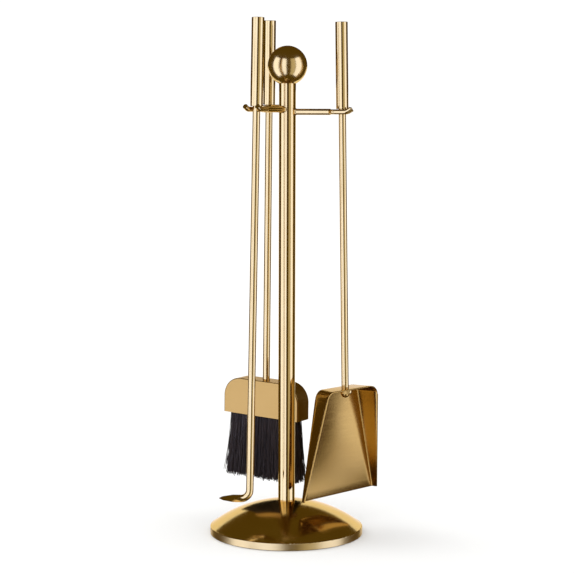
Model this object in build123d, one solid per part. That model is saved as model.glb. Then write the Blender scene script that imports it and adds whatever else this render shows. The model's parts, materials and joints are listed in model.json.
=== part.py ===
"""Fireplace tool set: a weighted round base, a post with a ball finial, and three forks that carry
a poker, a brush and a shovel by their handles. Millimetres, +Z up, origin on the floor under the post."""
from build123d import *
import math
import os

os.makedirs("parts", exist_ok=True)

# Base: a spun brass dome over an iron weight, closed below by a steel plate and a felt pad.
BASE_RADIUS = 100.5
RIM_TOP = 10.0
RIM_ROUND = 1.4
SHELL_FOOT = 0.8
SEAT_HEIGHT = 42.6
SHELL_SHEET = 1.2
PAD_THICKNESS = 2.0
PAD_RADIUS = 97.0
PLATE_THICKNESS = 2.0
PLATE_RADIUS = 97.5
WEIGHT_RADIUS = 96.5
WEIGHT_GAP = 0.4
COUNTERBORE_RADIUS = 15.0
COUNTERBORE_TOP = 16.0

# Post, finial and the screws that hold them.
POST_RADIUS = 11.0
POST_BORE = 9.5
PLUG_RADIUS = 9.45
BALL_RADIUS = 25.6
BALL_HEIGHT = 613.5
POST_TOP = BALL_HEIGHT - math.sqrt(BALL_RADIUS**2 - POST_RADIUS**2)
FOOT_PLUG_LENGTH = 30.0
HEAD_PLUG_LENGTH = 24.0
BOLT_RADIUS = 5.0
STUD_RADIUS = 4.0
THREAD_GAP = 0.05
HEX_ACROSS_FLATS = 17.0
HEX_HEIGHT = 6.4
WASHER_THICKNESS = 2.0

# Arms and the wire forks that the handles hang in.
ARM_RADIUS = 4.0
WIRE_RADIUS = 3.25
FORK_HALF_WIDTH = 9.25
FORK_BEND_CENTRE = 65.6
LEG_STRAIGHT_END = 74.8
TIP_RISE_ANGLE = 32.0
TIP_BEND_RADIUS = 9.0
TIP_STRAIGHT = 4.5

# What the three tools share. Each hangs on its fork with its shoulder just above the wire.
ROD_RADIUS = 4.8
HANDLE_RADIUS = 8.0
HANDLE_BORE = 6.8
HANDLE_PLUG = 6.75
HANDLE_LENGTH = 111.3
SHOULDER_HEIGHT = 3.8
CAP_THICKNESS = 3.0
BUSH_LENGTH = 10.0
ROD_IN_HANDLE = 60.0
EDGE_BREAK = 0.5

# Where each tool hangs: distance from the post, direction, fork height and outward lean below.
HANG_RADIUS = 71.5
POKER_ANGLE, POKER_FORK_HEIGHT, POKER_LEAN = 237.0, 557.0, 1.7
BRUSH_ANGLE, BRUSH_FORK_HEIGHT, BRUSH_LEAN = 110.0, 559.5, 1.5
SHOVEL_ANGLE, SHOVEL_FORK_HEIGHT, SHOVEL_LEAN = -8.0, 554.0, 0.9

# Poker foot: the rod bends level and is ground to a four-sided point.
FOOT_DROP = 496.0
FOOT_BEND = 11.4
FOOT_HEADING = 180.0
FOOT_LENGTH = 39.0
POINT_GRIND_START = 10.0
POINT_SHOULDER = 34.0
POINT_SHOULDER_HALF = 1.9
POINT_END_HALF = 0.35

# Brush head, measured down from the fork.
BRUSH_HEADING = -35.0
HEAD_WIDTH = 123.0
HEAD_THICKNESS = 27.0
HEAD_TOP_DROP = 368.2
HEAD_HEIGHT = 48.7
HEAD_CORNER = 26.0
HEAD_EDGE = 1.6
COVER_SHEET = 1.0
CORE_RECESS = 1.0
CORE_GAP = 0.1
INSERT_RADIUS = 7.0
INSERT_LENGTH = 26.0
BRISTLE_TOP_WIDTH = 106.0
BRISTLE_FOOT_WIDTH = 116.0
BRISTLE_TOP_THICKNESS = 20.0
BRISTLE_FOOT_THICKNESS = 27.0
BRISTLE_LENGTH = 86.0

# Shovel pan, measured down from the fork; the rod stands off the pan floor.
PAN_HEADING = 44.0
PAN_TOP_DROP = 359.5
PAN_LENGTH = 142.8
PAN_TOP_HALF = 38.2
PAN_LIP_HALF = 67.0
PAN_SHEET = 1.2
PAN_CORNER = 13.0
PAN_FLARE = 13.0
PAN_STANDOFF = 16.0
WALL_BACK_DEPTH = 30.0
WALL_LIP_DEPTH = 7.0
FLAP_DROP = 12.0
FLAP_SHEET = 0.8
TANG_RADIUS = 3.0
TANG_LENGTH = 9.0
NUT_RADIUS = 5.6
RIVET_SPREAD = 25.0
RIVET_DROP = 9.0
RIVET_RADIUS = 1.5
RIVET_HEAD_RADIUS = 4.0
RIVET_HEAD_HEIGHT = 1.8


def disc(radius, bottom, top):
    """A round bar on the Z axis between two heights."""
    return Pos(0, 0, bottom) * Cylinder(radius, top - bottom, align=(Align.CENTER, Align.CENTER, Align.MIN))


def ring(outer, inner, bottom, top):
    """A round bar with a hole along its axis."""
    return disc(outer, bottom, top) - disc(inner, bottom - 1, top + 1)


def hexagon(across_flats, bottom, top):
    """A hexagonal bar on the Z axis."""
    outline = RegularPolygon(across_flats / 2, 6, major_radius=False)
    return extrude(Pos(0, 0, bottom) * outline, top - bottom)


def turned(*edges):
    """A solid of revolution about Z from edges drawn in the XZ plane."""
    return revolve(Plane.XZ * make_face(Curve() + list(edges)), Axis.Z)


# ---- base -------------------------------------------------------------------------------------
RIM_EDGE = BASE_RADIUS - RIM_ROUND
DOME_CENTRE = (POST_RADIUS**2 + SEAT_HEIGHT**2 - RIM_EDGE**2 - RIM_TOP**2) / (2 * (SEAT_HEIGHT - RIM_TOP))
DOME_RADIUS = math.hypot(POST_RADIUS, SEAT_HEIGHT - DOME_CENTRE)
PLATE_TOP = PAD_THICKNESS + PLATE_THICKNESS
SHELL_CEILING = SEAT_HEIGHT - SHELL_SHEET


def dome_height(radius, inset):
    """Height of the dome's surface, or of a surface that lies inset below it."""
    return DOME_CENTRE + math.sqrt((DOME_RADIUS - inset) ** 2 - radius**2)


def dome_arc(outer_radius, inset, seat_height):
    """The dome's section from the seat under the post out to the given radius."""
    middle = (POST_RADIUS + outer_radius) / 2
    return ThreePointArc(
        (POST_RADIUS, seat_height),
        (middle, dome_height(middle, inset)),
        (outer_radius, dome_height(outer_radius, inset)),
    )


def base_shell():
    """The spun dome: a thin skin with a flat seat, a bolt hole and a short upright rim."""
    hole = BOLT_RADIUS + THREAD_GAP
    inner_edge = BASE_RADIUS - SHELL_SHEET
    corner = RIM_ROUND * (1 - math.sqrt(0.5))
    outside = dome_arc(RIM_EDGE, 0, SEAT_HEIGHT)
    inside = dome_arc(inner_edge, SHELL_SHEET, SHELL_CEILING)
    rounding = ThreePointArc(
        outside @ 1,
        (BASE_RADIUS - corner, RIM_TOP - corner),
        (BASE_RADIUS, RIM_TOP - RIM_ROUND),
    )
    return turned(
        Line((hole, SEAT_HEIGHT), (POST_RADIUS, SEAT_HEIGHT)),
        outside,
        rounding,
        Polyline(rounding @ 1, (BASE_RADIUS, SHELL_FOOT), (inner_edge, SHELL_FOOT), inside @ 1),
        inside,
        Polyline((POST_RADIUS, SHELL_CEILING), (hole, SHELL_CEILING), (hole, SEAT_HEIGHT)),
    )


def base_weight():
    """The iron disc that fills the dome, with a counterbore below for the bolt's head."""
    hole = BOLT_RADIUS + THREAD_GAP
    top = dome_arc(WEIGHT_RADIUS, SHELL_SHEET + WEIGHT_GAP, SHELL_CEILING)
    return turned(
        Line((hole, SHELL_CEILING), (POST_RADIUS, SHELL_CEILING)),
        top,
        Polyline(
            top @ 1,
            (WEIGHT_RADIUS, PLATE_TOP),
            (COUNTERBORE_RADIUS, PLATE_TOP),
            (COUNTERBORE_RADIUS, COUNTERBORE_TOP),
            (hole, COUNTERBORE_TOP),
            (hole, SHELL_CEILING),
        ),
    )


def base_bolt():
    """The bolt up through the weight into the post: hexagonal head and plain shank."""
    head_top = COUNTERBORE_TOP - WASHER_THICKNESS
    shank_top = SEAT_HEIGHT + FOOT_PLUG_LENGTH - 4
    return hexagon(HEX_ACROSS_FLATS, head_top - HEX_HEIGHT, head_top) + disc(BOLT_RADIUS, head_top, shank_top)


def build_base():
    """Everything below the post, by node name."""
    washer_bottom = COUNTERBORE_TOP - WASHER_THICKNESS
    return {
        "base_shell": base_shell(),
        "base_weight": base_weight(),
        "base_plate": ring(PLATE_RADIUS, COUNTERBORE_RADIUS, PAD_THICKNESS, PLATE_TOP),
        "felt_pad": disc(PAD_RADIUS, 0, PAD_THICKNESS),
        "base_bolt": base_bolt(),
        "base_washer": ring(COUNTERBORE_RADIUS - 2, BOLT_RADIUS + 0.3, washer_bottom, COUNTERBORE_TOP),
    }


# ---- post and finial --------------------------------------------------------------------------
def build_post():
    """The post tube, its two threaded plugs, and the ball on its stud."""
    stud_bottom = POST_TOP - 18
    stud_top = POST_TOP + 14
    ball = Pos(0, 0, BALL_HEIGHT) * Sphere(BALL_RADIUS)
    seat_cut = disc(BALL_RADIUS, BALL_HEIGHT - 2 * BALL_RADIUS, POST_TOP)
    stud_hole = disc(STUD_RADIUS + THREAD_GAP, POST_TOP - 1, stud_top + 1)
    foot_top = SEAT_HEIGHT + FOOT_PLUG_LENGTH
    head_bottom = POST_TOP - HEAD_PLUG_LENGTH
    return {
        "post_tube": ring(POST_RADIUS, POST_BORE, SEAT_HEIGHT, POST_TOP),
        "post_foot_plug": ring(PLUG_RADIUS, BOLT_RADIUS + THREAD_GAP, SEAT_HEIGHT, foot_top),
        "post_head_plug": ring(PLUG_RADIUS, STUD_RADIUS + THREAD_GAP, head_bottom, POST_TOP),
        "finial_stud": disc(STUD_RADIUS, stud_bottom, stud_top),
        "ball_finial": ball - seat_cut - stud_hole,
    }


# ---- arms and forks ---------------------------------------------------------------------------
def fork_wire():
    """A U of wire lying level, open outward, with both tips bent up so a handle can't slide off."""
    rise = math.radians(TIP_RISE_ANGLE)
    bend_end = (
        LEG_STRAIGHT_END + TIP_BEND_RADIUS * math.sin(rise),
        TIP_BEND_RADIUS * (1 - math.cos(rise)),
    )
    bend_middle = (
        LEG_STRAIGHT_END + TIP_BEND_RADIUS * math.sin(rise / 2),
        TIP_BEND_RADIUS * (1 - math.cos(rise / 2)),
    )
    tip = (bend_end[0] + TIP_STRAIGHT * math.cos(rise), bend_end[1] + TIP_STRAIGHT * math.sin(rise))
    legs = []
    for side in (-FORK_HALF_WIDTH, FORK_HALF_WIDTH):
        start = (FORK_BEND_CENTRE, side, 0)
        straight_end = (LEG_STRAIGHT_END, side, 0)
        bend = ThreePointArc(
            straight_end, (bend_middle[0], side, bend_middle[1]), (bend_end[0], side, bend_end[1])
        )
        upturn = Line(bend @ 1, (tip[0], side, tip[1]))
        legs.append([Line(start, straight_end), bend, upturn])
    bow = ThreePointArc(
        (FORK_BEND_CENTRE, -FORK_HALF_WIDTH, 0),
        (FORK_BEND_CENTRE - FORK_HALF_WIDTH, 0, 0),
        (FORK_BEND_CENTRE, FORK_HALF_WIDTH, 0),
    )
    path = Wire([edge.edge() for edge in legs[0] + [bow] + legs[1]])
    start_plane = Plane(origin=(tip[0], -FORK_HALF_WIDTH, tip[1]), z_dir=(-math.cos(rise), 0, -math.sin(rise)))
    return sweep(start_plane * Circle(WIRE_RADIUS), path=path)


def fork_and_arm(angle, height):
    """One wire fork and the straight arm that joins it to the post, butted and brazed at both ends."""
    fork = fork_wire()
    bar = Rot(0, 90, 0) * disc(ARM_RADIUS, 0, FORK_BEND_CENTRE - FORK_HALF_WIDTH)
    arm = bar - fork - disc(POST_RADIUS, -2 * ARM_RADIUS, 2 * ARM_RADIUS)
    place = Pos(0, 0, height) * Rot(0, 0, angle)
    return place * fork, place * arm


# ---- what every tool has ----------------------------------------------------------------------
def build_handle():
    """A tube handle with a flush cap above and a bush below that centres the rod."""
    top = SHOULDER_HEIGHT + HANDLE_LENGTH
    tube = ring(HANDLE_RADIUS, HANDLE_BORE, SHOULDER_HEIGHT, top)
    rims = tube.edges().filter_by(GeomType.CIRCLE).filter_by(lambda edge: edge.radius > HANDLE_BORE + 1)
    return {
        "handle": fillet(rims, EDGE_BREAK),
        "handle_cap": disc(HANDLE_PLUG, top - CAP_THICKNESS, top),
        "handle_bush": ring(HANDLE_PLUG, ROD_RADIUS + THREAD_GAP, SHOULDER_HEIGHT, SHOULDER_HEIGHT + BUSH_LENGTH),
    }


def rod(bottom):
    """A plain round rod from inside the handle down to the given height."""
    return disc(ROD_RADIUS, bottom, SHOULDER_HEIGHT + ROD_IN_HANDLE)


def hang(pieces, angle, height, lean):
    """Place a tool's pieces, drawn about the rod's axis at fork height, in their fork."""
    place = Rot(0, 0, angle) * Pos(HANG_RADIUS, 0, height) * Rot(0, -lean, 0)
    return {name: place * piece for name, piece in pieces.items()}


def named(tool, pieces):
    """The same pieces with the tool's name in front of each."""
    return {f"{tool}_{name}": piece for name, piece in pieces.items()}


# ---- poker ------------------------------------------------------------------------------------
def grind(start, start_half, end, end_half):
    """The four flats of a ground point, standing on edge, as a pyramid along X."""
    sections = [
        Plane(origin=(station, 0, 0), x_dir=(0, 1, 0), z_dir=(1, 0, 0)) * Rot(0, 0, 45) * Rectangle(2 * half, 2 * half)
        for station, half in ((start, start_half), (end, end_half))
    ]
    return loft(sections)


def poker_rod():
    """The rod with its foot: a tight level bend, a short straight and a ground point."""
    slope = (ROD_RADIUS - POINT_SHOULDER_HALF) / (POINT_SHOULDER - POINT_GRIND_START)
    end_half = POINT_SHOULDER_HALF - slope * (FOOT_LENGTH - POINT_SHOULDER)
    tip_slope = (POINT_SHOULDER_HALF - POINT_END_HALF) / (FOOT_LENGTH - POINT_SHOULDER)
    tip_start_half = POINT_END_HALF + tip_slope * (FOOT_LENGTH - FOOT_BEND)
    foot = Rot(0, 90, 0) * disc(ROD_RADIUS, FOOT_BEND, FOOT_LENGTH)
    foot = foot & grind(POINT_GRIND_START, ROD_RADIUS, FOOT_LENGTH, end_half)
    foot = foot & grind(FOOT_BEND, tip_start_half, FOOT_LENGTH, POINT_END_HALF)
    bend = revolve(Circle(ROD_RADIUS), axis=Axis((FOOT_BEND, 0, 0), (0, 1, 0)), revolution_arc=-90)
    shape = rod(FOOT_BEND - FOOT_DROP) + Pos(0, 0, FOOT_BEND - FOOT_DROP) * bend + Pos(0, 0, -FOOT_DROP) * foot
    return Rot(0, 0, FOOT_HEADING - POKER_ANGLE) * shape


def build_poker():
    """The poker's pieces in place."""
    pieces = build_handle()
    pieces["rod"] = poker_rod()
    return hang(named("poker", pieces), POKER_ANGLE, POKER_FORK_HEIGHT, POKER_LEAN)


# ---- brush ------------------------------------------------------------------------------------
def head_outline(inset):
    """The brush head's front outline: square below, with large round corners above."""
    width = HEAD_WIDTH - 2 * inset
    height = HEAD_HEIGHT - inset
    corner = HEAD_CORNER - inset
    sheet = Pos(0, -HEAD_TOP_DROP - inset - height / 2) * Rectangle(width, height)
    return fillet(sheet.vertices().group_by(Axis.Y)[-1], corner)


def head_block(inset):
    """The head's outline made solid, as thick as the head less the inset on both faces."""
    return extrude(Plane.XZ * head_outline(inset), HEAD_THICKNESS / 2 - inset, both=True)


def brush_pieces():
    """The brush below its handle: rod, sheet cover, wooden core, threaded insert and bristles."""
    bottom = -HEAD_TOP_DROP - HEAD_HEIGHT
    outside = head_block(0)
    top_edges = outside.edges().filter_by(lambda edge: edge.center().Z > bottom + 1 and abs(edge.center().Y) > 1)
    outside = fillet(top_edges, HEAD_EDGE)
    insert_bottom = -HEAD_TOP_DROP - COVER_SHEET - CORE_GAP - INSERT_LENGTH
    rod_bottom = insert_bottom + 4
    rod_hole = disc(ROD_RADIUS + THREAD_GAP, bottom - 1, -HEAD_TOP_DROP + 1)
    insert_hole = disc(INSERT_RADIUS, insert_bottom, -HEAD_TOP_DROP + 1)
    below_core = Pos(0, 0, bottom) * Box(2 * HEAD_WIDTH, 2 * HEAD_WIDTH, 2 * CORE_RECESS)
    insert_top = -HEAD_TOP_DROP - COVER_SHEET - CORE_GAP
    insert_bore = disc(ROD_RADIUS + THREAD_GAP, rod_bottom - 0.2, insert_top + 1)
    tuft_top = bottom + CORE_RECESS
    sections = [
        Pos(0, 0, tuft_top) * Rectangle(BRISTLE_TOP_WIDTH, BRISTLE_TOP_THICKNESS),
        Pos(0, 0, tuft_top - BRISTLE_LENGTH) * Rectangle(BRISTLE_FOOT_WIDTH, BRISTLE_FOOT_THICKNESS),
    ]
    hollow = head_block(COVER_SHEET) + extrude(Pos(0, 0, bottom) * head_mouth(), 2, both=True)
    return {
        "rod": rod(rod_bottom),
        "cover": outside - hollow - rod_hole,
        "core": head_block(COVER_SHEET + CORE_GAP) - below_core - insert_hole,
        "insert": disc(INSERT_RADIUS - THREAD_GAP, insert_bottom, insert_top) - insert_bore,
        "bristles": loft(sections),
    }


def head_mouth():
    """The opening at the foot of the cover, where the bristles come out."""
    return Rectangle(HEAD_WIDTH - 2 * COVER_SHEET, HEAD_THICKNESS - 2 * COVER_SHEET)


def build_brush():
    """The brush's pieces in place."""
    turn = Rot(0, 0, BRUSH_HEADING - BRUSH_ANGLE)
    head = {name: turn * piece for name, piece in brush_pieces().items()}
    return hang(named("brush", {**build_handle(), **head}), BRUSH_ANGLE, BRUSH_FORK_HEIGHT, BRUSH_LEAN)


# ---- shovel -----------------------------------------------------------------------------------
def pan_section(depth, inset):
    """The pan's outline at a depth in front of its back face, grown or shrunk by the inset."""
    flare = depth * math.tan(math.radians(PAN_FLARE))
    overrun = 8.0
    spread = (PAN_LIP_HALF - PAN_TOP_HALF) * (PAN_LENGTH + overrun) / PAN_LENGTH
    top = -PAN_TOP_DROP - inset
    half = PAN_TOP_HALF + flare - inset
    foot = -PAN_TOP_DROP - PAN_LENGTH - overrun - (2 * overrun if inset > 0 else 0)
    foot_half = half + spread * (top - foot) / (PAN_LENGTH + overrun)
    outline = Polygon((-half, top), (half, top), (foot_half, foot), (-foot_half, foot), align=None)
    outline = fillet(outline.vertices().group_by(Axis.Y)[-1], PAN_CORNER - inset)
    return Plane(origin=(0, PAN_STANDOFF - depth, 0), x_dir=(1, 0, 0), z_dir=(0, -1, 0)) * outline


def pan_body(inset, start_depth):
    """A solid from the pan's back outline to beyond its rim, which flares as it comes forward."""
    return loft([pan_section(start_depth, inset), pan_section(WALL_BACK_DEPTH + 4, inset)])


def shovel_pan():
    """The folded sheet pan: floor, back wall, and side walls lapped over the back wall's corners."""
    top = -PAN_TOP_DROP
    lip = top - PAN_LENGTH
    lap = pan_body(-FLAP_SHEET, 0) - Pos(0, 0, top - FLAP_DROP + 100) * Box(400, 400, 200)
    skin = pan_body(0, 0) + lap - pan_body(PAN_SHEET, PAN_SHEET)
    skin -= Pos(0, 0, lip - 100) * Box(400, 400, 200)
    slant = Polyline(
        (PAN_STANDOFF - WALL_BACK_DEPTH, top + 20),
        (PAN_STANDOFF - WALL_BACK_DEPTH, top - FLAP_DROP),
        (PAN_STANDOFF - WALL_LIP_DEPTH, lip - 1),
        (PAN_STANDOFF - 90, lip - 1),
        (PAN_STANDOFF - 90, top + 20),
        close=True,
    )
    skin -= extrude(Plane.YZ * make_face(slant), 200, both=True)
    skin -= disc(TANG_RADIUS + THREAD_GAP, top - 6, top + 2)
    for side in (-1, 1):
        skin -= rivet_bar(side, RIVET_RADIUS + THREAD_GAP, 0)
    return skin


def rivet_bar(side, radius, head_height):
    """A rivet's shank through the pan floor, with a domed head in front when it has a height."""
    shank = Rot(90, 0, 0) * disc(radius, -PAN_STANDOFF, PAN_SHEET - PAN_STANDOFF)
    if head_height:
        ball = math.hypot(head_height, RIVET_HEAD_RADIUS) ** 2 / (2 * head_height)
        dome = Pos(0, 0, head_height - ball) * Sphere(ball) & disc(10, 0, head_height)
        shank += Rot(90, 0, 0) * Pos(0, 0, PAN_SHEET - PAN_STANDOFF) * dome
    return Pos(side * RIVET_SPREAD, 0, -PAN_TOP_DROP - RIVET_DROP) * shank


def shovel_rod():
    """The rod, stepped down to a threaded tang that passes through the pan's back wall."""
    top = -PAN_TOP_DROP
    return rod(top) + disc(TANG_RADIUS, top - TANG_LENGTH, top + 1)


def dome_nut():
    """A domed nut under the back wall, on the tang."""
    top = -PAN_TOP_DROP - PAN_SHEET - 1.0
    bottom = top - TANG_LENGTH
    dome = Pos(0, 0, top - 5) * Sphere(NUT_RADIUS) & disc(NUT_RADIUS, bottom - 2, top - 5)
    body = hexagon(2 * NUT_RADIUS, top - 5, top)
    return body + dome - disc(TANG_RADIUS + THREAD_GAP, -PAN_TOP_DROP - TANG_LENGTH - 0.3, top + 1)


def build_shovel():
    """The shovel's pieces in place."""
    under_wall = -PAN_TOP_DROP - PAN_SHEET
    rivets = [rivet_bar(side, RIVET_RADIUS, RIVET_HEAD_HEIGHT).solid() for side in (-1, 1)]
    head = {
        "rod": shovel_rod(),
        "pan": shovel_pan(),
        "nut": dome_nut(),
        "washer": ring(NUT_RADIUS + 1.4, TANG_RADIUS + 0.2, under_wall - 1.0, under_wall),
        "rivets": Compound(children=rivets),
    }
    turn = Rot(0, 0, PAN_HEADING - SHOVEL_ANGLE)
    head = {name: turn * piece for name, piece in head.items()}
    return hang(named("shovel", {**build_handle(), **head}), SHOVEL_ANGLE, SHOVEL_FORK_HEIGHT, SHOVEL_LEAN)


# ---- assembly ---------------------------------------------------------------------------------
nodes = {**build_base(), **build_post()}
for tool, angle, height in (
    ("poker", POKER_ANGLE, POKER_FORK_HEIGHT),
    ("brush", BRUSH_ANGLE, BRUSH_FORK_HEIGHT),
    ("shovel", SHOVEL_ANGLE, SHOVEL_FORK_HEIGHT),
):
    nodes[f"{tool}_fork"], nodes[f"{tool}_arm"] = fork_and_arm(angle, height)
nodes.update(build_poker())
nodes.update(build_brush())
nodes.update(build_shovel())

for name, shape in nodes.items():
    export_step(shape, f"parts/{name}.step")
    print(f"{name}: {shape.volume / 1000:.2f} cm3")
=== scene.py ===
"""Looks of a brass fireplace tool set: a domed stand with three wire forks, a poker, a brush and a shovel.

Everything is in metres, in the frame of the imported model: the floor is at z = 0 and the post stands on the
Z axis. Each tool hangs in its fork and leans a little, so its pieces are drawn about its rod and then placed.
"""
import json
import logging
import math
from dataclasses import dataclass, field
from enum import Enum
from typing import Any, Callable, Optional, Union

import bmesh
import bpy
from mathutils import Matrix, Vector


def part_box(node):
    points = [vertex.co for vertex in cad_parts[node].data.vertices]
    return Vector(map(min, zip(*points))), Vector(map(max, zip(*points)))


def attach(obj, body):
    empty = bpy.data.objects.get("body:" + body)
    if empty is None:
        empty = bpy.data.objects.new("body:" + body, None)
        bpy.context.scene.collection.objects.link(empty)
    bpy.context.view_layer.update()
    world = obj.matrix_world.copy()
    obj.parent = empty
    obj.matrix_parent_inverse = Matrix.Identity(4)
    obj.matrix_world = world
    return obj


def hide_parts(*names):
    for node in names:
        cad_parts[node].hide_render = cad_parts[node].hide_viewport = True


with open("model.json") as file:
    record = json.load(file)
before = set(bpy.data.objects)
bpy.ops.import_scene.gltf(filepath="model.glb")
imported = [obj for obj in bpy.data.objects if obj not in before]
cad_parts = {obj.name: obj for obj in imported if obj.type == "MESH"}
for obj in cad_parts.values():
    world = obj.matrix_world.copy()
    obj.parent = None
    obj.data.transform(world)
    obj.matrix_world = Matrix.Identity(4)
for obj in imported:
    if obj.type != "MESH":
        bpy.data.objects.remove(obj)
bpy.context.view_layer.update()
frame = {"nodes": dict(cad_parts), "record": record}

MM = 0.001
MERGE_DISTANCE = 1e-7
LOG = logging.getLogger("tool_set")


# ---- small helpers ----------------------------------------------------------------------------
def linear(code: str) -> tuple[float, float, float, float]:
    """Turn an sRGB hex colour into linear light.

    Args:
        code: Six hexadecimal digits with a leading #.

    Returns:
        Red, green, blue and an alpha of 1.
    """
    channels = [int(code[start:start + 2], 16) / 255 for start in (1, 3, 5)]
    return (*[c / 12.92 if c <= 0.04045 else ((c + 0.055) / 1.055) ** 2.4 for c in channels], 1.0)


def add_node(tree: bpy.types.NodeTree, kind: str, inputs: Optional[dict] = None,
             **settings: Any) -> bpy.types.Node:
    """Add one node, set it up and link it.

    Args:
        tree: The node tree that gets the node.
        kind: The node's type name.
        inputs: Socket name or number, to a value or to the output socket that feeds it.
        settings: The node's own properties.

    Returns:
        The new node.
    """
    node = tree.nodes.new(kind)
    for name, value in settings.items():
        setattr(node, name, value)
    for socket, value in (inputs or {}).items():
        if isinstance(value, bpy.types.NodeSocket):
            tree.links.new(value, node.inputs[socket])
        else:
            node.inputs[socket].default_value = value
    return node


def mesh_object(name: str, build: Callable[[bmesh.types.BMesh], None], material: bpy.types.Material,
                sharp_degrees: float = 35.0) -> bpy.types.Object:
    """Make an object from a bmesh builder, shaded smooth except along its sharp edges.

    Args:
        name: The piece's name.
        build: Fills an empty bmesh.
        material: The finish of the whole piece.
        sharp_degrees: Edges that turn more than this stay sharp.

    Returns:
        The object, linked to the scene, at the origin.
    """
    work = bmesh.new()
    build(work)
    bmesh.ops.remove_doubles(work, verts=work.verts, dist=MERGE_DISTANCE)
    bmesh.ops.recalc_face_normals(work, faces=work.faces)
    limit = math.radians(sharp_degrees)
    for face in work.faces:
        face.smooth = True
    for edge in work.edges:
        edge.smooth = edge.is_manifold and edge.calc_face_angle(0.0) < limit
    mesh = bpy.data.meshes.new(name)
    work.to_mesh(mesh)
    work.free()
    mesh.materials.append(material)
    piece = bpy.data.objects.new(name, mesh)
    bpy.context.scene.collection.objects.link(piece)
    return piece


def apply_modifiers(piece: bpy.types.Object) -> None:
    """Turn a piece's modifiers into plain mesh.

    Args:
        piece: The object whose mesh is replaced and whose modifiers are removed.
    """
    graph = bpy.context.evaluated_depsgraph_get()
    graph.update()
    mesh = bpy.data.meshes.new_from_object(piece.evaluated_get(graph), depsgraph=graph)
    mesh.name = piece.name
    piece.modifiers.clear()
    piece.data = mesh


# ---- where the tools hang ---------------------------------------------------------------------
@dataclass(frozen=True)
class Station:
    """A tool's place on the stand: the way its arm points, its fork's height in mm and its lean outwards.

    Angles are in degrees.
    """

    angle: float
    height: float
    lean: float


STATIONS: dict[str, Station] = {
    "poker": Station(237.0, 557.0, 1.7),
    "brush": Station(110.0, 559.5, 1.5),
    "shovel": Station(-8.0, 554.0, 0.9),
}
# The way the brush head and the pan are turned, which is also the way their sheet is brushed.
BRUSH_HEADING = -35.0
PAN_HEADING = 44.0


# ---- finishes ---------------------------------------------------------------------------------
class Grain(Enum):
    """How a brass surface was brushed, as the length of its marks along X, Y and Z over their width."""

    LENGTHWISE = (1.0, 1.0, 160.0)
    TURNED = (60.0, 60.0, 1.0)
    ACROSS = (45.0, 1.0, 1.0)
    NONE = (1.0, 1.0, 1.0)


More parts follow.
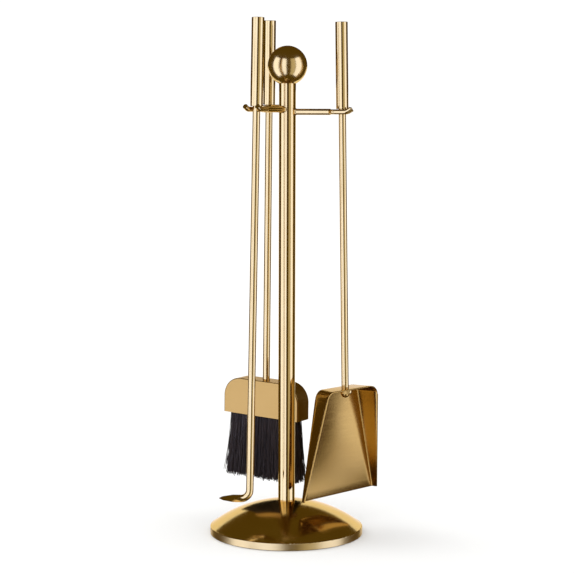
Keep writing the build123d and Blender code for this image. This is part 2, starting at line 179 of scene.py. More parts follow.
@dataclass(frozen=True)
class BrassFinish:
    """Brushed and lacquered brass: a warm metal whose fine marks follow its grain under a thin clear coat.

    The real marks are a tenth of a millimetre wide. They are drawn about a millimetre wide, so that
    they show. Sizes are in mm and angles in degrees.
    """

    name: str
    grain: Grain
    roughness: float
    mark_width: float = 1.0
    relief: float = 0.004
    contrast: float = 0.12
    tone: str = "#D7BC86"
    shade: str = "#CAAD73"
    edge: str = "#E8D2A4"
    heading: float = 0.0
    foot_roughness: Optional[float] = None
    foot_height: float = 10.0
    cloud_size: float = 45.0
    bump_strength: float = 0.3
    lacquer: float = 0.08
    lacquer_roughness: float = 0.1

    def marks(self, tree: bpy.types.NodeTree, place: bpy.types.Node) -> bpy.types.NodeSocket:
        """Add the brush marks.

        Args:
            tree: The material's nodes.
            place: The Texture Coordinate node.

        Returns:
            The strength of the marks, about 0.5 on average.
        """
        stretch = add_node(tree, "ShaderNodeMapping", {
            "Vector": place.outputs["Object"],
        }, vector_type="TEXTURE")
        stretch.inputs["Rotation"].default_value = (0.0, 0.0, math.radians(self.heading))
        stretch.inputs["Scale"].default_value = self.grain.value
        where = stretch.outputs["Vector"]
        if self.grain is Grain.TURNED:
            flat = add_node(tree, "ShaderNodeVectorMath", {
                0: place.outputs["Object"], 1: (1.0, 1.0, 0.0),
            }, operation="MULTIPLY")
            radius = add_node(tree, "ShaderNodeVectorMath", {0: flat.outputs["Vector"]}, operation="LENGTH")
            ring = add_node(tree, "ShaderNodeCombineXYZ", {"X": radius.outputs["Value"]})
            where = add_node(tree, "ShaderNodeVectorMath", {
                0: where, 1: ring.outputs["Vector"],
            }, operation="ADD").outputs["Vector"]
        noise = add_node(tree, "ShaderNodeTexNoise", {
            "Vector": where, "Scale": 1.0 / (self.mark_width * MM * 2), "Detail": 2.0, "Roughness": 0.55,
        })
        return noise.outputs["Fac"]

    def rough(self, tree: bpy.types.NodeTree, place: bpy.types.Node,
              marks: bpy.types.NodeSocket) -> bpy.types.NodeSocket:
        """Add the roughness: streaked by the marks, and duller on a low edge that is linished square.

        Args:
            tree: The material's nodes.
            place: The Texture Coordinate node.
            marks: The brush marks.

        Returns:
            The roughness.
        """
        streaks = add_node(tree, "ShaderNodeMapRange", {
            "Value": marks,
            "From Min": 0.3,
            "From Max": 0.7,
            "To Min": self.roughness * (1 - self.contrast),
            "To Max": self.roughness * (1 + self.contrast),
        })
        if self.foot_roughness is None:
            return streaks.outputs["Result"]
        split = add_node(tree, "ShaderNodeSeparateXYZ", {"Vector": place.outputs["Object"]})
        foot = add_node(tree, "ShaderNodeMapRange", {
            "Value": split.outputs["Z"],
            "From Min": (self.foot_height - 1.0) * MM,
            "From Max": self.foot_height * MM,
            "To Min": self.foot_roughness,
            "To Max": 0.0,
        })
        return add_node(tree, "ShaderNodeMath", {
            0: streaks.outputs["Result"], 1: foot.outputs["Result"],
        }, operation="MAXIMUM").outputs["Value"]

    def build(self) -> bpy.types.Material:
        """Make the material.

        Returns:
            A material whose marks follow Object coordinates.
        """
        material = bpy.data.materials.new(self.name)
        material.use_nodes = True
        tree = material.node_tree
        tree.nodes.clear()
        place = add_node(tree, "ShaderNodeTexCoord")
        marks = self.marks(tree, place)
        cloud = add_node(tree, "ShaderNodeTexNoise", {
            "Vector": place.outputs["Object"], "Scale": 1.0 / (self.cloud_size * MM), "Detail": 2.0,
        })
        blend = add_node(tree, "ShaderNodeMix", {0: cloud.outputs["Fac"]}, data_type="RGBA")
        blend.inputs[6].default_value = linear(self.tone)
        blend.inputs[7].default_value = linear(self.shade)
        bump = add_node(tree, "ShaderNodeBump", {
            "Height": marks, "Strength": self.bump_strength, "Distance": self.relief * MM,
        })
        shader = add_node(tree, "ShaderNodeBsdfPrincipled", {
            "Base Color": blend.outputs[2],
            "Metallic": 1.0,
            "Roughness": self.rough(tree, place, marks),
            "Specular Tint": linear(self.edge),
            "Normal": bump.outputs["Normal"],
            "Coat Weight": self.lacquer,
            "Coat Roughness": self.lacquer_roughness,
        })
        add_node(tree, "ShaderNodeOutputMaterial", {"Surface": shader.outputs["BSDF"]})
        return material


@dataclass(frozen=True)
class PlainFinish:
    """A finish without brushing: raw iron, plated steel, felt, beech or bristle."""

    name: str
    tone: str
    shade: str
    roughness: float
    grit: float
    relief: float
    metallic: float = 0.0
    stretch: tuple[float, float, float] = (1.0, 1.0, 1.0)
    sheen: float = 0.0
    bump_strength: float = 0.6

    def build(self) -> bpy.types.Material:
        """Make the material.

        Returns:
            A material with a grain of the finish's grit size.
        """
        material = bpy.data.materials.new(self.name)
        material.use_nodes = True
        tree = material.node_tree
        tree.nodes.clear()
        place = add_node(tree, "ShaderNodeTexCoord")
        stretch = add_node(tree, "ShaderNodeMapping", {"Vector": place.outputs["Object"]})
        stretch.inputs["Scale"].default_value = self.stretch
        grain = add_node(tree, "ShaderNodeTexNoise", {
            "Vector": stretch.outputs["Vector"], "Scale": 1.0 / (self.grit * MM * 2), "Detail": 4.0,
        })
        blend = add_node(tree, "ShaderNodeMix", {0: grain.outputs["Fac"]}, data_type="RGBA")
        blend.inputs[6].default_value = linear(self.tone)
        blend.inputs[7].default_value = linear(self.shade)
        bump = add_node(tree, "ShaderNodeBump", {
            "Height": grain.outputs["Fac"], "Strength": self.bump_strength, "Distance": self.relief * MM,
        })
        shader = add_node(tree, "ShaderNodeBsdfPrincipled", {
            "Base Color": blend.outputs[2],
            "Metallic": self.metallic,
            "Roughness": self.roughness,
            "Normal": bump.outputs["Normal"],
            "Sheen Weight": self.sheen,
        })
        add_node(tree, "ShaderNodeOutputMaterial", {"Surface": shader.outputs["BSDF"]})
        return material


Finish = Union[BrassFinish, PlainFinish]
FINISHES: dict[str, Finish] = {
    # Spun on a lathe and brushed as it turned: rings of fine marks, nearly a mirror, with a duller rim.
    "dome_brass": BrassFinish("spun_brass_lathe_brushed", Grain.TURNED, 0.15, foot_roughness=0.34),
    # The ball is turned and satin polished: soft-edged gleams.
    "ball_brass": BrassFinish("turned_brass_ball_satin", Grain.TURNED, 0.19, relief=0.0003),
    # Drawn tube polished lengthwise: crisp upright bands of light.
    "tube_brass": BrassFinish("drawn_brass_tube_satin", Grain.LENGTHWISE, 0.07, relief=0.0006),
    "handle_brass": BrassFinish("drawn_brass_handle_satin", Grain.LENGTHWISE, 0.07, relief=0.0006),
    "rod_brass": BrassFinish("drawn_brass_rod_satin", Grain.LENGTHWISE, 0.08, relief=0.0006),
    # Wire polished after it was bent: a soft sheen with no direction.
    "wire_brass": BrassFinish("bent_brass_wire_satin", Grain.NONE, 0.12, relief=0.001),
    # Sheet brushed across the pan before it was folded: a broad, soft gleam. Its tone is painted darker than
    # the turned and drawn brass, as painted shade for the dimmer light that the pan mirrors.
    "sheet_brass": BrassFinish(
        "folded_brass_sheet_brushed", Grain.ACROSS, 0.17, relief=0.003, tone="#B5914F", shade="#A98444",
        heading=PAN_HEADING,
    ),
    # The brush head's cover: the same sheet, finer and duller, its tone painted darker than the turned and
    # drawn brass as painted shade.
    "cover_brass": BrassFinish(
        "pressed_brass_cover_satin", Grain.ACROSS, 0.29, relief=0.0005, contrast=0.05, tone="#AF8B4E",
        shade="#A98548", heading=BRUSH_HEADING,
    ),
    # Turned fittings: a plain soft polish.
    "fitting_brass": BrassFinish("turned_brass_fitting", Grain.NONE, 0.2, relief=0.002),
    # Zinc plating on turned steel: a dull grey gleam.
    "steel": PlainFinish("zinc_plated_steel", "#9A9B9C", "#85878A", 0.38, 0.8, 0.01, 1.0),
    # Raw casting: dark, coarse and gritty.
    "cast_iron": PlainFinish("sand_cast_iron", "#3B3A38", "#2B2A29", 0.75, 0.7, 0.15, 0.6),
    # Pressed wool: black and quite without shine.
    "felt": PlainFinish("pressed_felt", "#1D1D1E", "#101011", 0.95, 0.25, 0.12, 0.0, (1.0, 1.0, 1.0), 0.4),
    # Sawn beech with its grain along the head.
    "core_wood": PlainFinish("sawn_beech", "#A9825A", "#8C6844", 0.7, 0.6, 0.05, 0.0, (0.08, 1.0, 1.0)),
    # Horsehair dyed black: browner where the light comes through, with a slight waxy shine.
    "bristle": PlainFinish("dyed_horsehair", "#3E2817", "#1E1209", 0.55, 1.2, 0.01, 0.0, (1.0, 1.0, 0.12)),
}


# ---- sub-assemblies ---------------------------------------------------------------------------
@dataclass
class SubAssembly:
    """Pieces that move together as one body of the model."""

    body: str
    materials: dict[str, bpy.types.Material]
    special: dict[str, str] = field(default_factory=dict)

    def dress(self) -> None:
        """Give each carried-over node of the body the finish of its slot, or a special one of its own."""
        slots = {row["node"]: row["material_slot"] for row in frame["record"]["subparts"]}
        for name in frame["record"]["behaviour"]["bodies"][self.body]:
            finish = self.special.get(name, slots[name])
            for slot in frame["nodes"][name].material_slots:
                slot.material = self.materials[finish]
            LOG.info("%s: %s in %s", self.body, name, self.materials[finish].name)

    def stand_for(self, piece: bpy.types.Object, node: str, slot: str) -> None:
        """Put a piece in a node's place.

        Args:
            piece: The new piece.
            node: The node that it replaces.
            slot: The record's slot of its finish, which is not used.
        """
        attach(piece, self.body)
        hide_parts(node)
        low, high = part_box(node)
        proud = []
        for axis in range(3):
            places = [vertex.co[axis] for vertex in piece.data.vertices]
            proud.append(max(low[axis] - min(places), max(places) - high[axis]))
        triangles = sum(len(face.vertices) - 2 for face in piece.data.polygons)
        LOG.info(
            "%s: %s for %s, %d triangles, proud by %.1f, %.1f and %.1f mm",
            self.body, piece.name, node, triangles, *[step / MM for step in proud],
        )


@dataclass
class Tool(SubAssembly):
    """A tool that hangs in its fork: its pieces are drawn about the rod, in mm, with the fork at height 0."""

    heading: float = 0.0
    hang_radius: float = 71.5

    def place(self) -> Matrix:
        """Work out where the tool hangs.

        Returns:
            The matrix from its drawing in mm, turned to its heading, to the set in metres.
        """
        station = STATIONS[self.body]
        spot = Matrix.Translation((self.hang_radius, 0.0, station.height))
        turn = Matrix.Rotation(math.radians(self.heading - station.angle), 4, "Z")
        lean = Matrix.Rotation(math.radians(-station.lean), 4, "Y")
        hang = Matrix.Rotation(math.radians(station.angle), 4, "Z") @ spot @ lean
        return Matrix.Scale(MM, 4) @ hang @ turn


@dataclass
class Stand(SubAssembly):
    """The base, the post, the ball and the three arms with their forks."""

    arm_radius: float = 4.0
    post_radius: float = 11.0
    fillet: float = 1.3
    fillet_bury: float = 0.6
    fillet_inset: float = 0.2
    fillet_steps: int = 6
    spokes: int = 32

    def braze(self) -> None:
        """Make the small concave fillets of braze where the arms meet the post."""
        def build(work: bmesh.types.BMesh) -> None:
            """Draw a closed ring of braze round each arm.

            Args:
                work: The empty bmesh.
            """
            for station in STATIONS.values():
                lift = Matrix.Translation((0.0, 0.0, station.height))
                turn = lift @ Matrix.Rotation(math.radians(station.angle), 4, "Z")
                rows = [[work.verts.new(turn @ point * MM) for point in ring] for ring in self.braze_rings()]
                for row, following in zip(rows, rows[1:] + rows[:1]):
                    for spoke in range(self.spokes):
                        after = (spoke + 1) % self.spokes
                        work.faces.new((row[spoke], row[after], following[after], following[spoke]))

        piece = mesh_object("brazed_fillets", build, self.materials["wire_brass"], 60.0)
        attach(piece, self.body)
        LOG.info("%s: %s, %d faces", self.body, piece.name, len(piece.data.polygons))

    def braze_rings(self) -> list[list[Vector]]:
        """Draw a fillet's rings, from the arm to the post and back inside both.

        Returns:
            Rings of points, with the arm along X.
        """
        sizes = []
        for step in range(self.fillet_steps + 1):
            swing = math.pi / 2 * step / self.fillet_steps
            radius = self.arm_radius + self.fillet * (1 - math.cos(swing))
            sizes.append((radius, self.fillet * (1 - math.sin(swing))))
        sizes.append((self.arm_radius - self.fillet_inset, -self.fillet_bury))
        return [
            [self.braze_point(radius, off, spoke / self.spokes) for spoke in range(self.spokes)]
            for radius, off in sizes
        ]

    def braze_point(self, radius: float, off: float, turn: float) -> Vector:
        """Find a point of a fillet.

        Args:
            radius: Distance from the arm's axis.
            off: Distance from the post's surface.
            turn: Part of a full turn round the arm.

        Returns:
            The point, with the arm along X.
        """
        side = radius * math.cos(2 * math.pi * turn)
        out = math.sqrt(self.post_radius**2 - side**2) + off
        return Vector((out, side, radius * math.sin(2 * math.pi * turn)))

    def build(self) -> None:
        """Dress the stand and add its braze."""
        self.dress()
        self.braze()


@dataclass
class Poker(SubAssembly):
    """The poker: handle, rod and ground foot, all as carried over."""

    def build(self) -> None:
        """Dress the poker."""
        self.dress()


@dataclass
class Brush(Tool):
    """The brush: a pressed cover over a beech core, with a flared tuft of horsehair."""

    mouth_drop: float = 415.9
    root_width: float = 104.0
    root_thickness: float = 19.0
    foot_width: float = 114.0
    foot_thickness: float = 27.0
    length: float = 88.0
    strands: int = 4600
    strand_radius: float = 0.36
    strand_points: int = 7
    unevenness: float = 0.17
    stray: float = 11.0
    wave: float = 1.3
    seed: int = 11
    root_bury: float = 0.6
    core_inset: float = 7.0
    core_levels: tuple[float, ...] = (0.0, 0.35, 0.7, 0.93)
    core_spokes: int = 40
    core_sag: float = 4.0
    core_squareness: tuple[float, float] = (0.35, 0.6)

    def tuft_core(self, work: bmesh.types.BMesh) -> None:
        """Build the tuft's dark middle, which no light comes through.

        Args:
            work: The empty bmesh.
        """
        rows = []
        flare = self.foot_width - self.root_width
        swell = self.foot_thickness - self.root_thickness
        for part in self.core_levels:
            width = self.root_width + flare * part - self.core_inset
            thickness = self.root_thickness + swell * part - self.core_inset
            outline = []
            for spoke in range(self.core_spokes):
                turn = 2 * math.pi * spoke / self.core_spokes
                along, across = math.cos(turn), math.sin(turn)
                x = width / 2 * math.copysign(abs(along) ** self.core_squareness[0], along)
                y = thickness / 2 * math.copysign(abs(across) ** self.core_squareness[1], across)
                sag = self.core_sag * math.sin(3 * turn + 1.0) * part
                outline.append(work.verts.new((x, y, -self.mouth_drop - self.length * part + sag)))
            rows.append(outline)
        for row, following in zip(rows, rows[1:]):
            for spoke in range(self.core_spokes):
                after = (spoke + 1) % self.core_spokes
                work.faces.new((row[spoke], row[after], following[after], following[spoke]))
        work.faces.new(rows[0])
        work.faces.new(rows[-1])

    def strand_tree(self) -> bpy.types.GeometryNodeTree:
        """Build the nodes that grow the strands and join them to the tuft's middle.

        Returns:
            A tree with named inputs for the tuft's sizes.
        """
        # Powers that make short and stray strands rare.
        short_rarity, stray_rarity = 1.6, 6.0
        # How many locks the tuft falls into, how often a lock ripples and how widely, and how a strand thins.
        locks, ripple_length, ripple_gain = 7.0, 2.6, 3.5
        tip_taper = 0.55
        tree = bpy.data.node_groups.new("brush_strands", "GeometryNodeTree")
        tree.interface.new_socket("Geometry", in_out="INPUT", socket_type="NodeSocketGeometry")
        for name, kind in (
            ("Strands", "NodeSocketInt"),
            ("Strand Radius", "NodeSocketFloat"),
            ("Length", "NodeSocketFloat"),
            ("Unevenness", "NodeSocketFloat"),
            ("Stray", "NodeSocketFloat"),
            ("Wave", "NodeSocketFloat"),
            ("Root Half", "NodeSocketVector"),
            ("Foot Half", "NodeSocketVector"),
            ("Root Height", "NodeSocketFloat"),
            ("Seed", "NodeSocketInt"),
            ("Material", "NodeSocketMaterial"),
        ):
            tree.interface.new_socket(name, in_out="INPUT", socket_type=kind)
        tree.interface.new_socket("Geometry", in_out="OUTPUT", socket_type="NodeSocketGeometry")
        given = add_node(tree, "NodeGroupInput").outputs

        def vector_math(operation: str, first: Any, second: Any = (0.0, 0.0, 0.0)) -> bpy.types.NodeSocket:
            """Combine two vectors, or a vector and a number."""
            slot = 3 if operation == "SCALE" else 1
            node = add_node(tree, "ShaderNodeVectorMath", {0: first, slot: second}, operation=operation)
            return node.outputs[0]

        def number(operation: str, first: Any, second: Any) -> bpy.types.NodeSocket:
            """Combine two numbers."""
            return add_node(tree, "ShaderNodeMath", {0: first, 1: second}, operation=operation).outputs[0]

        def draw(low: float, high: float, offset: int) -> bpy.types.NodeSocket:
            """Draw a vector at random for each strand."""
            seed = number("ADD", given["Seed"], offset)
            return add_node(tree, "FunctionNodeRandomValue", {
                0: (low,) * 3, 1: (high,) * 3, "Seed": seed,
            }, data_type="FLOAT_VECTOR").outputs[0]

        def stored(geometry: bpy.types.NodeSocket, name: str,
                   value: bpy.types.NodeSocket) -> bpy.types.NodeSocket:
            """Keep a vector on the points under a name."""
            return add_node(tree, "GeometryNodeStoreNamedAttribute", {
                "Geometry": geometry, "Name": name, "Value": value,
            }, data_type="FLOAT_VECTOR", domain="POINT").outputs[0]

        def recalled(name: str) -> bpy.types.NodeSocket:
            """Read a vector that was kept."""
            kept = add_node(tree, "GeometryNodeInputNamedAttribute", {"Name": name}, data_type="FLOAT_VECTOR")
            return kept.outputs[0]

        # Start every strand as a straight line at the origin, with random vectors of its own.
        roots = add_node(tree, "GeometryNodePoints", {
            "Count": given["Strands"], "Position": (0.0, 0.0, 0.0),
        }).outputs[0]
        roots = stored(roots, "root", draw(-1.0, 1.0, 0))
        roots = stored(roots, "bend", draw(-1.0, 1.0, 1))
        roots = stored(roots, "trim", draw(0.0, 1.0, 2))
        line = add_node(tree, "GeometryNodeCurvePrimitiveLine", {"End": (0.0, 0.0, -1.0)}).outputs[0]
        line = add_node(tree, "GeometryNodeResampleCurve", {
            "Curve": line, "Count": self.strand_points,
        }).outputs[0]
        laid = add_node(tree, "GeometryNodeInstanceOnPoints", {"Points": roots, "Instance": line}).outputs[0]
        curves = add_node(tree, "GeometryNodeRealizeInstances", {"Geometry": laid}).outputs[0]

        # Spread the strands over the flared tuft and let each fall to its own length.
        along = add_node(tree, "GeometryNodeSplineParameter").outputs["Factor"]
        half = add_node(tree, "ShaderNodeMix", {
            0: along, 4: given["Root Half"], 5: given["Foot Half"],
        }, data_type="VECTOR").outputs[1]
        flat_root = vector_math("MULTIPLY", recalled("root"), (1.0, 1.0, 0.0))
        spread = vector_math("MULTIPLY", flat_root, half)
        trim = add_node(tree, "ShaderNodeSeparateXYZ", {0: recalled("trim")})
        short = number("MULTIPLY", given["Unevenness"], number("POWER", trim.outputs[0], short_rarity))
        reach = number("MULTIPLY", given["Length"], number("SUBTRACT", 1.0, short))
        fall = number("SUBTRACT", given["Root Height"], number("MULTIPLY", reach, along))
        drop = add_node(tree, "ShaderNodeCombineXYZ", {"Z": fall}).outputs[0]

        # Sway a few strands out at the tip, and ripple neighbours together.
        stray = number("MULTIPLY", given["Stray"], number("POWER", trim.outputs[1], stray_rarity))
        sway = number("MULTIPLY", number("ADD", stray, given["Wave"]), number("POWER", along, 2.0))
        flat_bend = vector_math("MULTIPLY", recalled("bend"), (1.0, 1.0, 0.25))
        swung = vector_math("SCALE", flat_bend, sway)
        ripple_turns = add_node(tree, "ShaderNodeCombineXYZ", {"Z": number("MULTIPLY", along, ripple_length)})
        lock = vector_math("SCALE", recalled("root"), locks)
        ripple = add_node(tree, "ShaderNodeTexNoise", {
            "Vector": vector_math("ADD", lock, ripple_turns.outputs[0]), "Scale": 1.0, "Detail": 1.0,
        }).outputs["Color"]
        ripple = vector_math("MULTIPLY", vector_math("SUBTRACT", ripple, (0.5, 0.5, 0.5)), (1.0, 1.0, 0.0))
        ripple_size = number("MULTIPLY", given["Wave"], number("MULTIPLY", along, ripple_gain))
        rippled = vector_math("SCALE", ripple, ripple_size)
        shape = vector_math("ADD", vector_math("ADD", spread, drop), vector_math("ADD", swung, rippled))
        curves = add_node(tree, "GeometryNodeSetPosition", {"Geometry": curves, "Position": shape}).outputs[0]

        # Give each strand a tapered three-sided section, and join the strands to the middle.
        taper = number("SUBTRACT", 1.0, number("MULTIPLY", along, tip_taper))
        curves = add_node(tree, "GeometryNodeSetCurveRadius", {"Curve": curves, "Radius": taper}).outputs[0]
        section = add_node(tree, "GeometryNodeCurvePrimitiveCircle", {
            "Resolution": 3, "Radius": given["Strand Radius"],
        }).outputs[0]
        strands = add_node(tree, "GeometryNodeCurveToMesh", {
            "Curve": curves, "Profile Curve": section, "Fill Caps": True,
        }).outputs[0]
        strands = add_node(tree, "GeometryNodeSetShadeSmooth", {"Geometry": strands}).outputs[0]
        joined = add_node(tree, "GeometryNodeJoinGeometry")
        tree.links.new(strands, joined.inputs[0])
        tree.links.new(given["Geometry"], joined.inputs[0])
        whole = add_node(tree, "GeometryNodeRealizeInstances", {"Geometry": joined.outputs[0]}).outputs[0]
        whole = add_node(tree, "GeometryNodeSetMaterial", {
            "Geometry": whole, "Material": given["Material"],
        }).outputs[0]
        add_node(tree, "NodeGroupOutput", {0: whole})
        return tree

    def bristles(self) -> None:
        """Grow the tuft of horsehair."""
        tuft = mesh_object("brush_tuft", self.tuft_core, self.materials["bristle"], 60.0)
        tree = self.strand_tree()
        grow = tuft.modifiers.new("strands", "NODES")
        grow.node_group = tree
        sizes = {
            "Strands": self.strands,
            "Strand Radius": self.strand_radius,
            "Length": self.length,
            "Unevenness": self.unevenness,
            "Stray": self.stray,
            "Wave": self.wave,
            "Root Half": (self.root_width / 2, self.root_thickness / 2, 0.0),
            "Foot Half": (self.foot_width / 2, self.foot_thickness / 2, 0.0),
            "Root Height": -self.mouth_drop + self.root_bury,
            "Seed": self.seed,
            "Material": self.materials["bristle"],
        }
        for item in tree.interface.items_tree:
            if item.in_out == "INPUT" and item.name in sizes:
                grow[item.identifier] = sizes[item.name]
        apply_modifiers(tuft)
        tuft.data.transform(self.place())
        self.stand_for(tuft, "brush_bristles", "bristle")

    def build(self) -> None:
        """Dress the brush and grow its tuft."""
        self.dress()
        self.bristles()


@dataclass
class Shovel(Tool):
    """The shovel: handle, rod and a pan folded from sheet."""

    top_drop: float = 359.5
    length: float = 142.8
    top_half: float = 38.2
    lip_half: float = 67.0
    sheet: float = 1.2
    corner: float = 13.0
    flare: float = 13.0
    standoff: float = 16.0
    back_depth: float = 30.0
    lip_depth: float = 7.0
    fold: float = 1.8
    lap_drop: float = 12.0
    lap_sheet: float = 0.8
    hollow: float = 2.0
    hollow_skew: float = 0.7
    eased: float = 0.22
    eased_over: float = 50.0
    sharp_over: float = 40.0
    merge: float = 1e-4
    fold_steps: int = 6
    wall_steps: int = 5
    floor_steps: int = 16
    lap_steps: int = 12
    lap_rows: int = 4

    def outline(self, depth: float, inset: float, side_steps: int = 12,
                corner_steps: int = 8) -> list[tuple[float, float]]:
        """Draw the right half of the pan's front outline, from the lip up to the end of the top corner.

        Args:
            depth: Distance in front of the pan's back face, which widens the outline.
            inset: Distance inside the outline.
            side_steps: Points on the straight side.
            corner_steps: Points on the corner.

        Returns:
            Points as width and height.
        """
        widen = depth * math.tan(math.radians(self.flare))
        slope = (self.lip_half - self.top_half) / self.length
        across = math.hypot(1.0, slope)
        normal = Vector((1.0 / across, slope / across))
        top = -self.top_drop - inset
        half = self.top_half + widen - inset * across - inset * slope
        radius = self.corner - inset
        turn = math.pi / 2 - math.atan(slope)
        reach = radius * math.tan(turn / 2)
        start = Vector((half + slope * reach / across, top - reach / across))
        centre = start - radius * normal
        lip = -self.top_drop - self.length
        foot = Vector((half + slope * (top - lip), lip))
        points = [foot.lerp(start, step / side_steps) for step in range(side_steps)]
        for step in range(corner_steps + 1):
            swing = math.atan(slope) + turn * step / corner_steps
            points.append(centre + radius * Vector((math.cos(swing), math.sin(swing))))
        return [(point.x, point.y) for point in points]

    def wall_depth(self, height: float) -> float:
        """Find how far the wall reaches in front of the back face.

        Args:
            height: Where along the pan, from the fork.

        Returns:
            The wall's depth there.
        """
        full = -self.top_drop - self.lap_drop
        lip = -self.top_drop - self.length
        part = min(1.0, max(0.0, (full - height) / (full - lip)))
        return self.back_depth + (self.lip_depth - self.back_depth) * part

    def pan_skin(self, work: bmesh.types.BMesh) -> None:
        """Build the outer face of the pan: floor, folds and walls in one sheet.

        Args:
            work: The empty bmesh.
        """
        stages = []
        for step in range(self.fold_steps + 1):
            swing = math.pi / 2 * step / self.fold_steps
            stages.append((self.fold * (1 - math.cos(swing)), self.fold * (1 - math.sin(swing)), 0.0))
        for step in range(1, self.wall_steps + 1):
            stages.append((self.fold, 0.0, step / self.wall_steps))
        rows = []
        for depth, inset, part in stages:
            base = self.outline(depth, inset)
            depths = [depth + (self.wall_depth(height) - depth) * part for _, height in base]
            right = [
                Vector((self.outline(deep, inset)[at][0], self.standoff - deep, height))
                for at, (deep, (_, height)) in enumerate(zip(depths, base))
            ]
            left = [Vector((-point.x, point.y, point.z)) for point in reversed(right)]
            rows.append([work.verts.new(point) for point in right + left])
        for row, following in zip(rows, rows[1:]):
            for at in range(len(row) - 1):
                work.faces.new((row[at], row[at + 1], following[at + 1], following[at]))
        self.pan_floor(work, rows[0])

    def pan_floor(self, work: bmesh.types.BMesh, rim: list[bmesh.types.BMVert]) -> None:
        """Fill the floor between its folds, pressed very slightly hollow.

        Args:
            work: The bmesh being built.
            rim: The floor's edge, from the right of the lip over the top to the left of the lip.
        """
        across = self.floor_steps
        lines = []
        for at in range(len(rim) // 2):
            right, left = rim[at], rim[-1 - at]
            part = min(1.0, max(0.0, (-self.top_drop - right.co.z) / self.length))
            depth = self.hollow * math.sin(math.pi * part**self.hollow_skew)
            line = [right]
            for step in range(1, across):
                spot = right.co.lerp(left.co, step / across)
                spot.y += depth * (1 - (2 * step / across - 1) ** 2)
                line.append(work.verts.new(spot))
            lines.append(line + [left])
        for line, following in zip(lines, lines[1:]):
            for step in range(across):
                work.faces.new((line[step], line[step + 1], following[step + 1], following[step]))

    def lap_skin(self, work: bmesh.types.BMesh) -> None:
        """Build the outer faces of the side laps, which stand proud of the walls by their own sheet.

        Args:
            work: The empty bmesh.
        """
        full = -self.top_drop - self.lap_drop
        slope = (self.lip_half - self.top_half) / self.length
        for side in (1, -1):
            rows = []
            for level in range(self.lap_rows + 1):
                row = []
                for step in range(self.lap_steps + 1):
                    height = full + (-self.length + self.lap_drop) * step / self.lap_steps
                    depth = self.fold + (self.wall_depth(height) - self.fold) * level / self.lap_rows
                    out = self.top_half + slope * (-self.top_drop - height)
                    out += depth * math.tan(math.radians(self.flare)) + self.lap_sheet
                    row.append(work.verts.new((side * out, self.standoff - depth, height)))
                rows.append(row)
            for row, following in zip(rows, rows[1:]):
                for at in range(len(row) - 1):
                    corners = (row[at], row[at + 1], following[at + 1], following[at])
                    work.faces.new(corners if side > 0 else corners[::-1])

    def sheet_object(self, name: str, build: Callable[[bmesh.types.BMesh], None],
                     sheet: float) -> bpy.types.Object:
        """Make a folded sheet from its outer face.

        Args:
            name: The object's name.
            build: Fills a bmesh with the outer face, its normals all one way.
            sheet: The sheet's thickness.

        Returns:
            The object, with the thickness on the inside and its edges eased.
        """
        work = bmesh.new()
        build(work)
        bmesh.ops.remove_doubles(work, verts=work.verts, dist=self.merge)
        work.normal_update()
        middle = Vector((0.0, -self.back_depth, -self.top_drop - self.length / 2))
        outward = 0.0
        for face in work.faces:
            outward += (face.calc_center_median() - middle).dot(face.normal) * face.calc_area()
        if outward < 0:
            bmesh.ops.reverse_faces(work, faces=work.faces)
        for face in work.faces:
            face.smooth = True
        mesh = bpy.data.meshes.new(name)
        work.to_mesh(mesh)
        work.free()
        mesh.materials.append(self.materials["sheet_brass"])
        piece = bpy.data.objects.new(name, mesh)
        bpy.context.scene.collection.objects.link(piece)
        solid = piece.modifiers.new("sheet", "SOLIDIFY")
        solid.thickness = sheet
        solid.offset = -1.0
        solid.use_even_offset = True
        ease = piece.modifiers.new("eased_edges", "BEVEL")
        ease.width = self.eased
        ease.segments = 2
        ease.limit_method = "ANGLE"
        ease.angle_limit = math.radians(self.eased_over)
        apply_modifiers(piece)
        piece.data.set_sharp_from_angle(angle=math.radians(self.sharp_over))
        return piece

    def pan(self) -> None:
        """Make the pan with its laps as one piece."""
        pan = self.sheet_object("shovel_pan_folded", self.pan_skin, self.sheet)
        laps = self.sheet_object("shovel_pan_laps", self.lap_skin, self.lap_sheet)
        work = bmesh.new()
        work.from_mesh(pan.data)
        work.from_mesh(laps.data)
        work.to_mesh(pan.data)
        work.free()
        bpy.data.objects.remove(laps)
        pan.data.transform(self.place())
        self.stand_for(pan, "shovel_pan", "sheet_brass")

    def build(self) -> None:
        """Dress the shovel and fold its pan."""
        self.dress()
        self.pan()


# ---- stage ------------------------------------------------------------------------------------
@dataclass
class Softbox:
    """One upright light panel that faces the post. It reaches below the floor, which metal doesn't mirror.

    Directions are degrees round the post from the camera's side, positive toward +X.
    """

    name: str
    left: float
    right: float
    radiance: tuple[float, float, float]
    distance: float = 1.5
    bottom: float = -1.4
    top: float = 1.8

    def build(self) -> None:
        """Make the panel as an area light that shows only where metal mirrors it."""
        middle = math.radians((self.left + self.right) / 2)
        half = math.radians((self.right - self.left) / 2)
        width = 2 * self.distance * math.tan(half)
        height = self.top - self.bottom
        light = bpy.data.lights.new(self.name, "AREA")
        light.shape = "RECTANGLE"
        light.size = width
        light.size_y = height
        strongest = max(self.radiance)
        light.color = [channel / strongest for channel in self.radiance]
        light.energy = strongest * math.pi * width * height
        panel = bpy.data.objects.new(self.name, light)
        out = Vector((math.sin(middle), -math.cos(middle), 0.0))
        panel.location = out * self.distance + Vector((0.0, 0.0, (self.bottom + self.top) / 2))
        panel.rotation_euler = (-out).to_track_quat("-Z", "Y").to_euler()
        panel.visible_camera = False
        panel.visible_diffuse = False
        bpy.context.scene.collection.objects.link(panel)


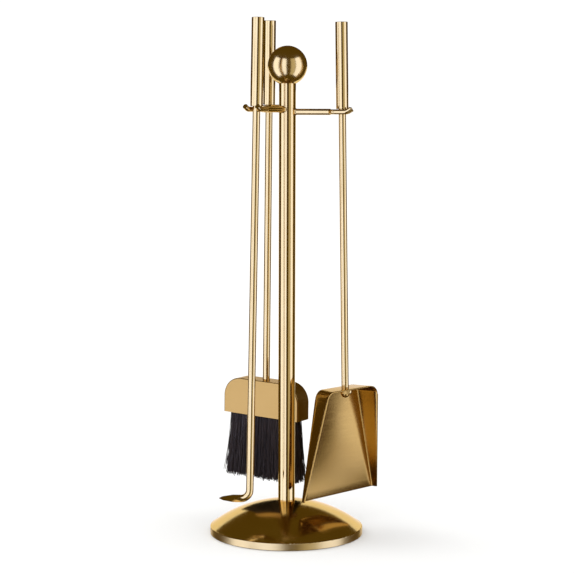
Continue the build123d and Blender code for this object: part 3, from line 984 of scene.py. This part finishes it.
@dataclass
class Studio:
    """A pale floor, a white surround, soft panels and the camera.

    The lens and its sensor are in mm and angles are in degrees.
    """

    camera_distance: float = 2.2
    camera_height: float = 0.5514
    lens: float = 106.1185
    sensor: float = 36.0
    shift_y: float = -0.03
    aim_height: float = 0.326
    roll: float = 0.15
    floor_radius: float = 12.0
    floor_tone: str = "#F4F4F3"
    key_strength: float = 0.42
    key_width: float = 38.0
    key_direction: tuple[float, float, float] = (0.9, -0.35, -1.0)
    fill_strength: float = 1.12
    surround_radius: float = 30.0
    surround_strength: float = 1.05
    room_radius: float = 29.0
    room_tone: str = "#5F4D17"
    panels: list[Softbox] = field(default_factory=lambda: [
        Softbox("panel_left_front", -49, -7, (1.5, 1.75, 2.7)),
        Softbox("panel_left_side", -90, -53, (1.6, 1.82, 2.7)),
        Softbox("panel_right_front", 20, 48, (0.62, 0.62, 0.54)),
        Softbox("panel_right_side", 50, 89.4, (1.5, 1.7, 2.5)),
        Softbox("panel_back", 145, 215, (1.25, 1.33, 1.6), distance=1.2, bottom=-0.8, top=0.6),
    ])

    def emitter(self, name: str, colour: tuple[float, float, float, float],
                strength: float) -> bpy.types.Material:
        """Make a plain glowing material for a dome.

        Args:
            name: The material's name.
            colour: What it glows with, in linear light.
            strength: How strongly it glows.

        Returns:
            The material.
        """
        material = bpy.data.materials.new(name)
        material.use_nodes = True
        tree = material.node_tree
        tree.nodes.clear()
        glow = add_node(tree, "ShaderNodeEmission", {"Color": colour, "Strength": strength})
        add_node(tree, "ShaderNodeOutputMaterial", {"Surface": glow.outputs["Emission"]})
        material.cycles.emission_sampling = "NONE"
        return material

    def surround(self, name: str, radius: float, material: bpy.types.Material, seen_by: str) -> None:
        """Make one of the two domes round the scene.

        Args:
            name: The dome's name.
            radius: Its radius.
            material: What it glows with.
            seen_by: "camera" or "glossy": the only rays that meet it.
        """
        def build(work: bmesh.types.BMesh) -> None:
            """Fill the bmesh with a ball."""
            bmesh.ops.create_uvsphere(work, u_segments=48, v_segments=24, radius=radius)

        dome = mesh_object(name, build, material)
        dome.visible_camera = seen_by == "camera"
        dome.visible_glossy = seen_by == "glossy"
        dome.visible_diffuse = False
        dome.visible_transmission = False
        dome.visible_shadow = False

    def floor(self) -> None:
        """Make the pale floor disc, which catches the shadow and which metal doesn't mirror."""
        paint = bpy.data.materials.new("matt_white_floor")
        paint.use_nodes = True
        tree = paint.node_tree
        tree.nodes.clear()
        place = add_node(tree, "ShaderNodeTexCoord")
        noise = add_node(tree, "ShaderNodeTexNoise", {"Vector": place.outputs["Object"], "Scale": 40.0})
        rough = add_node(tree, "ShaderNodeMapRange", {
            "Value": noise.outputs["Fac"], "To Min": 0.7, "To Max": 0.8,
        })
        shader = add_node(tree, "ShaderNodeBsdfPrincipled", {
            "Base Color": linear(self.floor_tone),
            "Roughness": rough.outputs["Result"],
            "Specular IOR Level": 0.0,
        })
        add_node(tree, "ShaderNodeOutputMaterial", {"Surface": shader.outputs["BSDF"]})

        def disc(work: bmesh.types.BMesh) -> None:
            """Fill the bmesh with a flat disc."""
            bmesh.ops.create_circle(work, cap_ends=True, segments=96, radius=self.floor_radius)

        ground = mesh_object("studio_floor", disc, paint)
        ground.visible_glossy = False

    def camera(self) -> None:
        """Make the camera, aimed a little down at the middle of the set."""
        data = bpy.data.cameras.new("camera")
        data.sensor_width = self.sensor
        data.lens = self.lens
        data.shift_y = self.shift_y
        data.clip_end = 100.0
        camera = bpy.data.objects.new("camera", data)
        camera.location = (0.0, -self.camera_distance, self.camera_height)
        drop = self.camera_height - self.aim_height
        pitch = math.atan2(drop, self.camera_distance) + math.atan(self.shift_y * self.sensor / self.lens)
        turn = Matrix.Rotation(math.pi / 2 - pitch, 4, "X") @ Matrix.Rotation(math.radians(self.roll), 4, "Z")
        camera.rotation_euler = turn.to_euler()
        bpy.context.scene.collection.objects.link(camera)
        bpy.context.scene.camera = camera

    def key(self) -> None:
        """Make the broad key light from behind on the left, which throws the soft shadow."""
        light = bpy.data.lights.new("key", "SUN")
        light.energy = self.key_strength
        light.angle = math.radians(self.key_width)
        lamp = bpy.data.objects.new("key", light)
        lamp.rotation_euler = Vector(self.key_direction).to_track_quat("-Z", "Y").to_euler()
        lamp.visible_glossy = False
        bpy.context.scene.collection.objects.link(lamp)

    def build(self) -> None:
        """Build the whole stage."""
        self.camera()
        self.floor()
        self.key()
        for panel in self.panels:
            panel.build()
        white = (1.0, 1.0, 1.0, 1.0)
        paper = self.emitter("white_paper", white, self.surround_strength)
        self.surround("white_surround", self.surround_radius, paper, "camera")
        room = self.emitter("dim_room", linear(self.room_tone), 1.0)
        self.surround("dark_room", self.room_radius, room, "glossy")
        world = bpy.data.worlds.new("soft_fill")
        world.use_nodes = True
        sky = world.node_tree.nodes["Background"]
        sky.inputs["Color"].default_value = white
        sky.inputs["Strength"].default_value = self.fill_strength
        world.cycles_visibility.camera = False
        world.cycles_visibility.glossy = False
        bpy.context.scene.world = world
        bpy.context.scene.view_settings.view_transform = "Standard"


def main() -> None:
    """Build the set and its stage."""
    logging.basicConfig(level=logging.INFO, format="%(message)s")
    materials = {slot: finish.build() for slot, finish in FINISHES.items()}
    Stand("stand", materials, {"ball_finial": "ball_brass"}).build()
    Poker("poker", materials).build()
    Brush("brush", materials, {"brush_cover": "cover_brass"}, heading=BRUSH_HEADING).build()
    # The shovel's nut takes the pan's darker sheet finish, as painted shade under the pan.
    Shovel("shovel", materials, {"shovel_nut": "sheet_brass"}, heading=PAN_HEADING).build()
    Studio().build()


if __name__ == "__main__":
    main()
